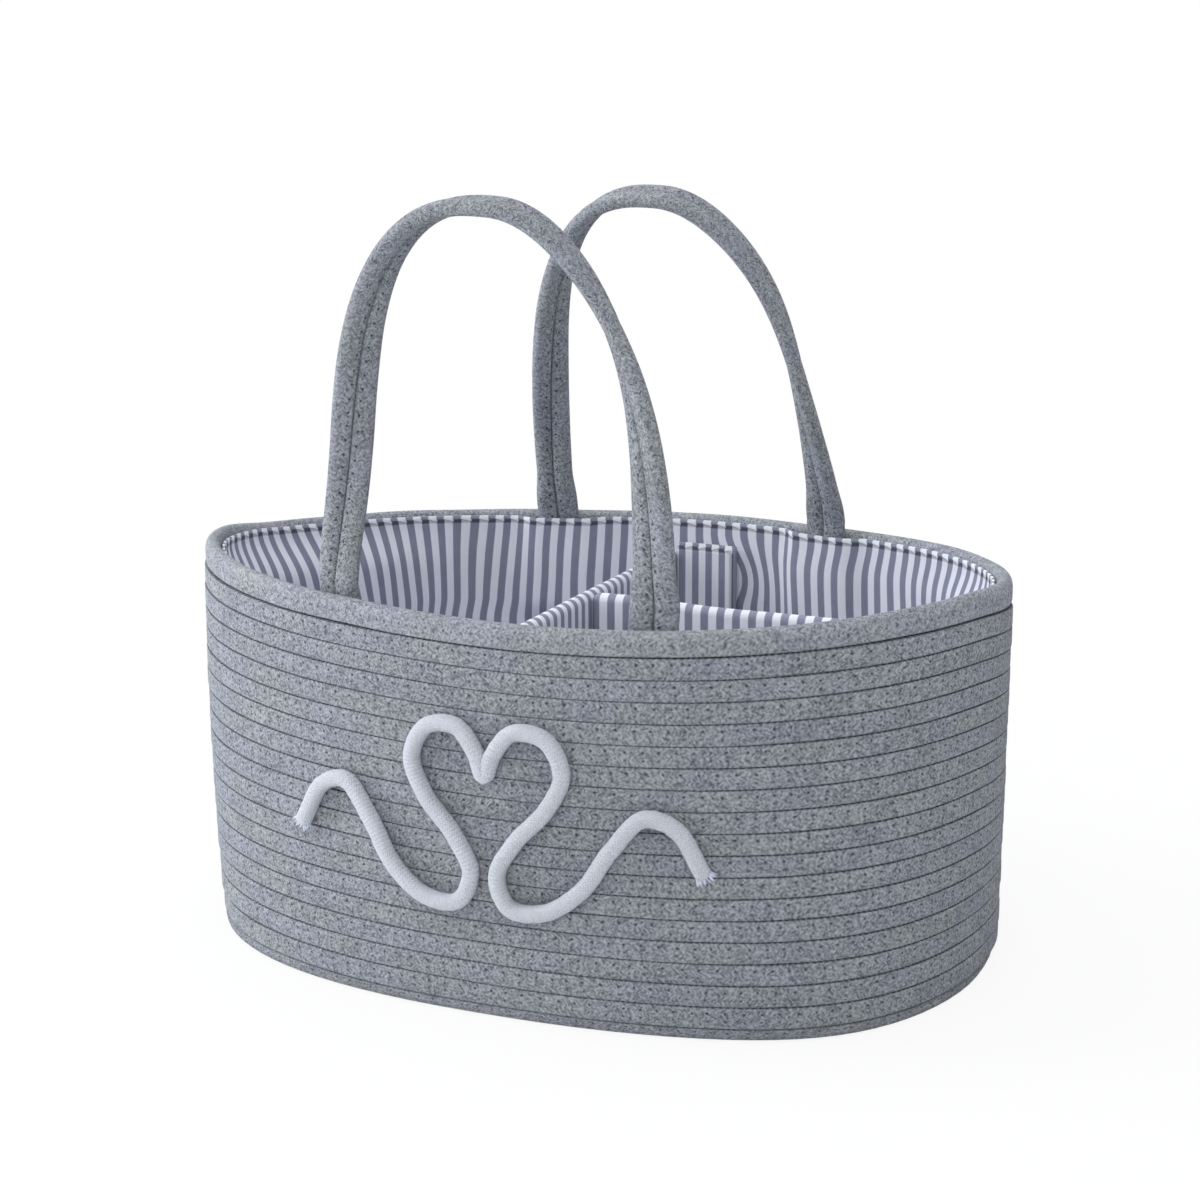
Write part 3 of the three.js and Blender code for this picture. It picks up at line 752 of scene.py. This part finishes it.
# Lining: striped cotton cloth along the inside of the wall, sewn to the rim by a zigzag
# stitch. It is a little loose at the ends and is pushed inwards over the handle feet.
CLOTH_THICKNESS = 0.0011
LINING_DEPTH = 0.0043
HEM_DROP = 0.0025
LINING_TOP = WALL_HEIGHT - HEM_DROP
LINING_BOTTOM = 0.0112
LINING_COLUMNS = 420
LINING_ROWS = 56
LINING_STRIPE = 8.2
LINING_WANDER = 7.0
NEAR_SIDE_DROP = 0.0018
BULGE_DEPTH = 0.0066
BULGE_HOLD = 0.0012
BULGE_FADE = 0.018
BULGE_SPREAD = 1.35
FOOT_HALF_WIDTH = 0.0112
FOOT_BOTTOM = 0.125
FOOT_TOP = 0.240
PUFF_START = 0.0035
PUFF_LENGTH = 0.022
LEFT_PUFF = 0.006
RIGHT_PUFF = 0.0035
RIPPLE = 0.0009
# How the stripes stray, in millimetres but for the flap's fold, which is in metres.
LEFT_SLANT = 0.32
SLANT_LENGTH = 45
RIGHT_LEAN = 3.2
LEAN_LENGTH = 19
FLAP_FOLD_PLACE = 0.024
FLAP_FOLD_WIDTH = 0.015
LIGHT_CLOTH = srgb(228, 231, 245), srgb(245, 247, 254)
DARK_CLOTH = srgb(122, 124, 143), srgb(157, 159, 180)
HEM_THREAD = srgb(238, 238, 243)
# Painted shade in the ditch just under a sewn hem.
HEM_PAINTED_SHADE = srgb(52, 54, 66)
CLOTH_BUMP = 0.0002


def sheet_mesh(
    name, rows, stripes, down=None, wraps=False, capped=False, thickness=CLOTH_THICKNESS
):
    """A cloth from rows of points. The weave map holds millimetres across its stripes and
    along them, and the hem attribute millimetres down from its sewn edge."""
    width = len(rows[0])
    faces = []
    corners = []
    for row in range(len(rows) - 1):
        for column in range(width if wraps else width - 1):
            spots = [(row, column), (row, column + 1), (row + 1, column + 1), (row + 1, column)]
            faces.append(tuple(line * width + place % width for line, place in spots))
            corners += spots
    if capped:
        faces.append(tuple(range(width - 1, -1, -1)))
        corners += [(0, column) for column in range(width - 1, -1, -1)]
    mesh = bpy.data.meshes.new(name)
    mesh.from_pydata([point for row in rows for point in row], [], faces)
    weave = np.array([stripes[row][column] for row, column in corners])
    mesh.uv_layers.new(name="weave").data.foreach_set("uv", weave.ravel())
    if down is not None:
        mesh.attributes.new("hem", "FLOAT", "POINT").data.foreach_set("value", np.ravel(down))
    piece = placed(name, mesh)
    bpy.ops.object.shade_smooth()
    solid = piece.modifiers.new("cloth_thickness", "SOLIDIFY")
    solid.thickness = thickness
    solid.offset = 0
    bpy.ops.object.modifier_apply(modifier=solid.name)
    return piece


def striped_cloth(name, period, wander, sewn_edge_and_shade=False):
    """Woven cotton ticking: even light and dark stripes, with fine threads along and across."""
    material, field = new_material(name)
    weave, across, along = map_parts(field, "weave")
    sway_place = field.node("CombineXYZ", None, {0: across * 0.02, 1: along * 0.014})
    phase = across + (grain(field, sway_place, 1.0, 1.0) - 0.5) * wander
    dark = from_middle((phase % period) / period).fall(0.215, 0.275)
    warp = from_middle((phase % 0.52) / 0.52) * 2
    weft = from_middle((along % 0.6) / 0.6) * 2
    slub_place = field.node("CombineXYZ", None, {0: across * 2.2, 1: along * 0.25})
    slub = grain(field, slub_place, 1.0, 2.0)
    soft = grain(field, weave, 0.12, 2.0)
    tone = (slub - 0.5) * 0.28 + (soft - 0.5) * 0.16 - (warp + weft) * 0.05 + 0.05
    light_cloth, dark_cloth = (
        (tone + 0.5).rise(0.1, 0.9).blend_colours(*shades) for shades in (LIGHT_CLOTH, DARK_CLOTH)
    )
    colour = dark.blend_colours(light_cloth, dark_cloth)
    height = slub * 0.4 - (warp + weft) * 0.35
    # A sewn edge has white zigzag thread on its light stripes, and painted shade in a dark ditch
    # just under the hem.
    if sewn_edge_and_shade:
        drop = field.node("Attribute", {"attribute_name": "hem"}, outlet=2)
        stitch_place = ((phase + period / 2) % period) / period - 0.5
        level = drop - 1.6 + stitch_place * period * 0.3
        thread = stitch_place.maths("ABSOLUTE").fall(0.25, 0.33)
        thread = thread * level.maths("ABSOLUTE").fall(0.4, 0.8)
        ditch_shade = (drop - 2.6).maths("ABSOLUTE").fall(0.5, 1.6) * (1 - thread)
        colour = (ditch_shade * 0.8 * (dark * 0.5 + 0.5)).blend_colours(colour, HEM_PAINTED_SHADE)
        colour = thread.blend_colours(colour, HEM_THREAD)
        height = height + thread * 1.5 - ditch_shade
    finish_surface(field, colour, 0.9, height, CLOTH_BUMP, sheen=0.1)
    return material


feet_beside = {-1: foot_places("front"), 1: foot_places("back")}


def foot_bulge(angle, height):
    """How far the lining stands off the wall where a handle foot lies behind it."""
    bulge = 0.0
    here = wall_point(angle, height)
    fade = BULGE_FADE * (BULGE_SPREAD - height / FOOT_TOP)
    down = (FOOT_BOTTOM - BULGE_HOLD - height) / BULGE_FADE
    for side in (-1, 1):
        if here.y * side < 0:
            continue
        for x, way in feet_beside[side]:
            aside = (abs(here.x - x) - FOOT_HALF_WIDTH - BULGE_HOLD) / fade
            bulge = max(bulge, BULGE_DEPTH * (1 - smooth(aside)) * (1 - smooth(down)))
    return bulge


def lining_slack(angle, height):
    """Loose cloth at the ends: it puffs inwards just under the rim and lies back lower down."""
    down = (LINING_TOP - height - PUFF_START) / PUFF_LENGTH
    puff = smooth(down) * (1 - 0.75 * smooth((down - 1) / 3))
    left = LEFT_PUFF * smooth((-math.cos(angle) - 0.55) / 0.35)
    right = RIGHT_PUFF * smooth((math.cos(angle) - 0.6) / 0.35)
    ripple = noise.noise(Vector((7 * math.cos(angle), 7 * math.sin(angle), height * 14)))
    return puff * (left + right + RIPPLE * (1 + ripple))


def stripe_sway(angle, drop):
    """Millimetres that the stripes stray aside at a drop below the rim: they slant at the left
    end, lean aside under the rim at the right end and fold beside the back flap."""
    turn = math.cos(angle)
    slant = LEFT_SLANT * smooth((-turn - 0.62) / 0.3)
    slant *= SLANT_LENGTH * (1 - math.exp(-drop / SLANT_LENGTH))
    slant *= min(max(math.sin(angle) / 0.3, -1), 1)
    lean = RIGHT_LEAN * smooth((turn + 0.05) / 0.45) * (1 - smooth(drop / LEAN_LENGTH))
    x = wall_point(angle, LINING_TOP).x
    beside_flap = bell((x - FLAP_FOLD_PLACE) / FLAP_FOLD_WIDTH) if math.sin(angle) > 0 else 0
    fold = beside_flap * (9 * smooth((drop - 5) / 22) - 5 * smooth((drop - 28) / 16))
    return slant + lean + fold


angles = [2 * math.pi * column / LINING_COLUMNS for column in range(LINING_COLUMNS + 1)]
rim_line = [wall_point(angle, LINING_TOP) for angle in angles]
rim_length = [0.0]
for before, after in zip(rim_line, rim_line[1:]):
    rim_length.append(rim_length[-1] + (after - before).length * 1000)
rows, weave, hems = [], [], []
for row in range(LINING_ROWS + 1):
    share = (row / LINING_ROWS) ** 0.8
    height = mix(LINING_BOTTOM, LINING_TOP, share)
    drop = (LINING_TOP - height) * 1000
    puffs = [foot_bulge(angle, height) + lining_slack(angle, height) for angle in angles]
    line, swelled = [], [0.0]
    for column, angle in enumerate(angles[:-1]):
        point = inside_point(angle, height, LINING_DEPTH + CLOTH_THICKNESS / 2 + puffs[column])
        point.z -= NEAR_SIDE_DROP * smooth((0.15 - math.sin(angle)) / 0.3) * share**4
        line.append(point)
        step = rim_length[column + 1] - rim_length[column]
        swell = math.hypot(step, (puffs[column + 1] - puffs[column]) * 1000) - step
        swelled.append(swelled[-1] + swell)
    cloth = []
    for column, angle in enumerate(angles):
        taken = swelled[column] - swelled[-1] * column / LINING_COLUMNS
        cloth.append((rim_length[column] + stripe_sway(angle, drop) + taken, height * 1000))
    rows.append(line)
    weave.append(cloth)
    hems.append([drop] * LINING_COLUMNS)
stripe = rim_length[-1] / round(rim_length[-1] / LINING_STRIPE)
lining_cloth = striped_cloth("lining_cloth", stripe, LINING_WANDER, sewn_edge_and_shade=True)
lining = sheet_mesh("lining_wall_cloth", rows, weave, hems, wraps=True)
own(lining, lining_cloth)
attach(lining, "basket")
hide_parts("lining_wall")


# Lining floor: an oval of the same cloth, laid on the rope base. The lining wall is sewn to it
# all round its edge.
FLOOR_HEIGHT = 0.0097
FLOOR_RINGS = 24
FLOOR_COLUMNS = 120
FLOOR_HOLE = 0.02
FLOOR_MARGIN = 0.0006
FLOOR_SAG = 0.0004
FLOOR_WANDER = 2.0
rows, weave = [], []
for ring in range(FLOOR_RINGS + 1):
    share = mix(FLOOR_HOLE, 1.0, ring / FLOOR_RINGS)
    line = []
    for column in range(FLOOR_COLUMNS):
        angle = 2 * math.pi * column / FLOOR_COLUMNS
        edge = inside_point(angle, FLOOR_HEIGHT, LINING_DEPTH + FLOOR_MARGIN)
        sag = FLOOR_SAG * noise.noise(Vector((edge.x * share * 30, edge.y * share * 30, 2)))
        line.append(Vector((edge.x * share, edge.y * share, FLOOR_HEIGHT + sag)))
    rows.append(line)
    weave.append([(point.x * 1000, point.y * 1000) for point in line + line[:1]])
floor_cloth = striped_cloth("floor_cloth", LINING_STRIPE, FLOOR_WANDER)
floor = sheet_mesh("lining_floor_cloth", rows, weave, wraps=True, capped=True)
own(floor, floor_cloth)
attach(floor, "basket")
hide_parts("lining_floor")


# Divider: a lift-out T of two panels. Each panel is a stiff board in a folded striped cover,
# closed along its top by the fold and along its ends by a seam.
PANEL_HALF = 0.0035
COVER_CLOTH = 0.0009
COVER_STEPS = 90
FOLD_STEPS = 10
SIDE_STEPS = 14
SEAM_PINCH = 0.42
SEAM_LENGTH = 0.003
COVER_PUFF = 0.05
COVER_SAG = 0.0005
LONG_PANEL_SAG = 0.0021
PANEL_STRIPE = 7.7
PANEL_WANDER = 0.8


def cover_piece(name, node, along_axis):
    """The folded cover of one panel, over the box of its CAD node."""
    low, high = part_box(node)
    length = (high - low)[along_axis]
    other = 1 - along_axis
    middle = (low[other] + high[other]) / 2
    bottom = low.z
    shoulder = high.z - PANEL_HALF
    levels = [bottom + (shoulder - bottom) * step / SIDE_STEPS for step in range(SIDE_STEPS)]
    fold = [math.pi * step / FOLD_STEPS for step in range(FOLD_STEPS + 1)]
    profile = [(-1.0, level, 0.0) for level in levels]
    profile += [(-math.cos(turn), shoulder, math.sin(turn)) for turn in fold]
    profile += [(1.0, level, 0.0) for level in levels[::-1]]
    rows, weave = [], []
    around = 0.0
    previous = profile[0]
    for across, level, crown in profile:
        rise = level - previous[1] + (crown - previous[2]) * PANEL_HALF
        around += math.hypot((across - previous[0]) * PANEL_HALF, rise)
        previous = (across, level, crown)
        line, cloth = [], []
        for step in range(COVER_STEPS + 1):
            share = step / COVER_STEPS
            end = min(share, 1 - share) * length
            pinch = mix(SEAM_PINCH, 1.0, math.sqrt(min(end / SEAM_LENGTH, 1.0)))
            soft = noise.noise(Vector((share * 9, level * 25, across + along_axis * 5)))
            sag = COVER_SAG * noise.noise(Vector((share * 5 + 3, 0, along_axis * 8)))
            dip = smooth(share / 0.45) * smooth((1 - share) / 0.15)
            sag -= LONG_PANEL_SAG * (1 - along_axis) * dip
            sag *= (level - bottom) / (shoulder - bottom)
            point = Vector((0, 0, level + crown * PANEL_HALF * pinch + sag))
            point[along_axis] = low[along_axis] + share * length
            half = (PANEL_HALF - COVER_CLOTH / 2) * pinch * (1 + COVER_PUFF * soft)
            point[other] = middle + across * half
            line.append(point)
            cloth.append((point[along_axis] * 1000, around * 1000))
        rows.append(line)
        weave.append(cloth)
    cover = own(sheet_mesh(name, rows, weave, thickness=COVER_CLOTH), panel_cloth)
    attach(cover, "divider")
    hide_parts(node)


panel_cloth = striped_cloth("panel_cloth", PANEL_STRIPE, PANEL_WANDER)
cover_piece("cross_panel_cloth", "cross_panel_cover", 1)
cover_piece("long_panel_cloth", "long_panel_cover", 0)


# Boards: a sheet of grey chipboard stiffens each panel. They are slipped into the covers and
# seen only at the open lower edge.
BOARD_LIGHT = srgb(226, 221, 211)
BOARD_DARK = srgb(196, 190, 178)
BOARD_BUMP = 0.0001


def dress(nodes, material):
    """Gives CAD nodes that stay in sight their finish."""
    for node in nodes:
        solid = frame["nodes"][node]
        solid.data.materials.clear()
        solid.data.materials.append(material)


board_grey, field = new_material("board_grey")
place = field.node("TexCoord", outlet=3)
chips = grain(field, place, 900.0, 3.0)
layers = grain(field, place, 120.0, 2.0)
colour = (chips * 0.6 + layers * 0.4).rise(0.3, 0.7).blend_colours(BOARD_DARK, BOARD_LIGHT)
finish_surface(field, colour, 0.85, chips, BOARD_BUMP)
dress(("cross_panel_board", "long_panel_board"), board_grey)


# Flaps: hemmed tabs of the striped cloth at the panel ends. They lie flat on the lining and
# hold the divider there.
FLAP_HEIGHT = 0.1145
FLAP_DEPTH = 0.0091
FLAP_CLOTH = 0.0010
FLAP_ROWS = 24
FLAP_COLUMNS = 16
FLAP_STRIPE = 7.2
FLAP_WANDER = 0.6
FLAPS = (("cross_panel_front", "front"), ("cross_panel_back", "back"), ("long_panel_end", "end"))


def on_wall(wall, place, height, depth):
    """A point in front of the lining, at a place along the front, back or right end wall."""
    if wall in ("front", "back"):
        angle = wall_angle(-1 if wall == "front" else 1, place, height, depth)
    else:
        angle = halved(
            0.0, math.pi / 2, lambda turn: inside_point(turn, height, depth).y < place
        )
    return inside_point(angle, height, depth)


def flap_mesh(name, wall, places, levels):
    """An upright cloth on the lining over a range of places along it and of levels."""
    rows, weave, hems = [], [], []
    for row in range(FLAP_ROWS + 1):
        level = mix(levels[0], levels[1], row / FLAP_ROWS)
        line, cloth, hem = [], [], []
        for column in range(FLAP_COLUMNS + 1):
            place = mix(places[0], places[1], column / FLAP_COLUMNS)
            spots = [on_wall(wall, place, height, FLAP_DEPTH) for height in (levels[0], LINING_TOP)]
            point = min(spots, key=lambda spot: spot.xy.length)
            line.append(Vector((point.x, point.y, level)))
            cloth.append((place * 1000, level * 1000))
            edge = min(levels[1] - level, level - levels[0], abs(place - places[1]))
            hem.append(edge * 1000)
        rows.append(line)
        weave.append(cloth)
        hems.append(hem)
    return sheet_mesh(name, rows, weave, hems, thickness=FLAP_CLOTH)


# The flaps' hemmed edges carry the white thread and painted shade in the ditch beside them.
flap_cloth = striped_cloth("flap_cloth", FLAP_STRIPE, FLAP_WANDER, sewn_edge_and_shade=True)
for panel, wall in FLAPS:
    low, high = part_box(f"{panel}_flap")
    axis = 1 if wall == "end" else 0
    levels = (low.z, low.z + FLAP_HEIGHT)
    flap = flap_mesh(f"{panel}_flap_cloth", wall, (low[axis], high[axis]), levels)
    own(flap, flap_cloth)
    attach(flap, "divider")
    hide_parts(f"{panel}_flap")


# Hook and loop strips: woven grey tape, with hooks under each flap and loops on the lining
# behind it, both sewn on along their edges.
STRIP_LIGHT = srgb(150, 152, 160)
STRIP_DARK = srgb(108, 111, 120)
STRIP_BUMP = 0.0003
strip_grey, field = new_material("strip_grey")
place = field.node("TexCoord", outlet=3)
loops = field.node("TexVoronoi", None, {"Vector": place, "Scale": 1400.0})
fuzz = grain(field, place, 500.0, 3.0)
colour = (loops * 0.7 + fuzz * 0.4).rise(0.2, 0.8).blend_colours(STRIP_DARK, STRIP_LIGHT)
finish_surface(field, colour, 0.8, loops, STRIP_BUMP)
for panel, wall in FLAPS:
    dress((f"{panel}_hook_strip", f"{wall}_loop_strip"), strip_grey)


# Ornament: one white braided cord laid as a wave, a heart and a wave, and sewn on the front
# wall. Its cut ends are frayed.
ORNAMENT_HALF = 0.0036
ORNAMENT_HALF_THICK = 0.0033
ORNAMENT_SIDES = 16
ORNAMENT_ROUNDNESS = (2.6, 2.6)
ORNAMENT_STEPS = 420
ORNAMENT_WIDTH = 0.186
ORNAMENT_HEIGHT = 0.082
ORNAMENT_PLACE = 0.005
ORNAMENT_LEVEL = 0.088
# The left half of the line, in half widths and half heights from its middle.
LEFT_HALF = [
    (-1, -0.42), (-0.88, 0.02), (-0.74, 0.12), (-0.6, -0.22), (-0.47, -0.66), (-0.3, -0.93),
    (-0.13, -0.93), (-0.065, -0.62), (-0.15, -0.24), (-0.3, 0.14), (-0.37, 0.52),
    (-0.29, 0.86), (-0.14, 0.9), (-0.045, 0.66),
]
DIP = (0, 0.42)
KNOT_STEPS = 40
BRAID_LENGTH = 1.7
BRAID_WIDTH = 1.3
CORD_LIGHT = srgb(246, 249, 255)
CORD_DARK = srgb(208, 215, 236)
CORD_BUMP = 0.0008
LUMPS = 0.00024
LUMPS_PER_METRE = 650
FIBRES_IN_ROW = 13
FIBRE_SEED = 26
FIBRE_HALF_WIDTH = 0.00032
FIBRE_HALF_HEIGHT = 0.0003
FIBRE_LENGTH = 0.0030
FIBRE_LENGTH_STEP = 0.0007
FIBRE_LENGTH_STRAY = 0.0022
FIBRE_TIP_STRAY = 0.0008


def spline_points(knots, steps):
    """Points on a centripetal Catmull-Rom curve through the knots, evenly spaced by length."""
    knots = [Vector((x, y, 0)) for x, y in knots]
    knots = [2 * knots[0] - knots[1]] + knots + [2 * knots[-1] - knots[-2]]
    fine = []
    for a, b, c, d in zip(knots, knots[1:], knots[2:], knots[3:]):
        t1 = (b - a).length ** 0.5
        t2 = t1 + (c - b).length ** 0.5
        t3 = t2 + (d - c).length ** 0.5
        for step in range(KNOT_STEPS):
            t = mix(t1, t2, step / KNOT_STEPS)
            ab = a.lerp(b, t / t1)
            bc = b.lerp(c, (t - t1) / (t2 - t1))
            cd = c.lerp(d, (t - t2) / (t3 - t2))
            abc = ab.lerp(bc, t / t2)
            bcd = bc.lerp(cd, (t - t1) / (t3 - t1))
            fine.append(abc.lerp(bcd, (t - t1) / (t2 - t1)))
    fine.append(knots[-2])
    return evenly(fine, steps)


shares = LEFT_HALF + [DIP] + [(-across, rise) for across, rise in LEFT_HALF[::-1]]
knots = [(across * ORNAMENT_WIDTH / 2, rise * ORNAMENT_HEIGHT / 2) for across, rise in shares]
off_wall = ROPE_HALF_WIDTH + ORNAMENT_HALF_THICK
route = [
    on_wall("front", ORNAMENT_PLACE + spot.x, ORNAMENT_LEVEL + spot.y, -off_wall)
    for spot in spline_points(knots, ORNAMENT_STEPS)
]
runs = []
for point, tangent in zip(route, tangents(route)):
    off = wall_outward(wall_angle(-1, point.x, point.z), point.z)
    off = (off - tangent * off.dot(tangent)).normalized()
    runs.append((point, off, off.cross(tangent), ORNAMENT_HALF_THICK, ORNAMENT_HALF))

cord_white, field = new_material("cord_white")
lay, along, around = map_parts(field, "lay")
first = along / BRAID_LENGTH + around / BRAID_WIDTH
second = along / BRAID_LENGTH - around / BRAID_WIDTH
parity = (first.maths("FLOOR") + second.maths("FLOOR")) % 2
across = parity * first + (1 - parity) * second
crown = from_middle(across % 1) * 2
fuzz = grain(field, lay, 1.3, 3.0, 0.75)
# The strands are darker towards their edges: painted shade between the braid's strands.
colour = (fuzz * 1.2 - crown * 0.4 + 0.22).rise(0.1, 0.9).blend_colours(CORD_DARK, CORD_LIGHT)
finish_surface(field, colour, 0.88, fuzz * 1.6 - crown * 0.7, CORD_BUMP, sheen=0.15)
ornament = rope_mesh("white_cord_ornament_braid", runs, ORNAMENT_SIDES, ORNAMENT_ROUNDNESS)
own(ornament, cord_white)
for vertex in ornament.data.vertices:
    vertex.co += vertex.normal * (LUMPS * noise.noise(vertex.co * LUMPS_PER_METRE))

noise.seed_set(FIBRE_SEED)
points, faces = [], []
for end, way in ((0, -1), (-1, 1)):
    middle, off, across, half_off, half_across = runs[end]
    forward = across.cross(off) * way
    for fibre in range(2 * FIBRES_IN_ROW):
        spread = (fibre % FIBRES_IN_ROW - 6) / 6
        layer = (fibre // FIBRES_IN_ROW - 0.5) * 0.9
        jitter = noise.noise_vector(Vector((fibre * 1.7, end * 5.3, 1)))
        root = middle + across * (spread * half_across * 0.82) + off * (layer * half_off * 0.8)
        heading = forward + across * (spread * 0.4 + jitter.x * 0.5) + off * (jitter.y * 0.35)
        heading.normalize()
        side = heading.cross(off).normalized() * FIBRE_HALF_WIDTH
        rise = heading.cross(side).normalized() * FIBRE_HALF_HEIGHT
        length = FIBRE_LENGTH + FIBRE_LENGTH_STRAY * abs(jitter.z)
        length += FIBRE_LENGTH_STEP * (fibre % 3)
        first = len(points)
        points += [root + side, root - side * 0.6 + rise, root - side * 0.6 - rise]
        bend = root + heading * length * 0.6
        rise *= 0.8
        points += [bend + side * 0.8, bend - side * 0.5 + rise, bend - side * 0.5 - rise]
        points.append(root + heading * length + across * (jitter.y * FIBRE_TIP_STRAY))
        for corner in range(3):
            here, beside = first + corner, first + (corner + 1) % 3
            faces.append((here, beside, beside + 3, here + 3))
            faces.append((here + 3, beside + 3, first + 6))
frayed = bpy.data.meshes.new("frayed_ends")
frayed.from_pydata(points, [], faces)
frayed.materials.append(cord_white)
placed("frayed_ends", frayed)
ornament.select_set(True)
bpy.context.view_layer.objects.active = ornament
bpy.ops.object.join()
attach(ornament, "basket")
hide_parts("white_cord_ornament")
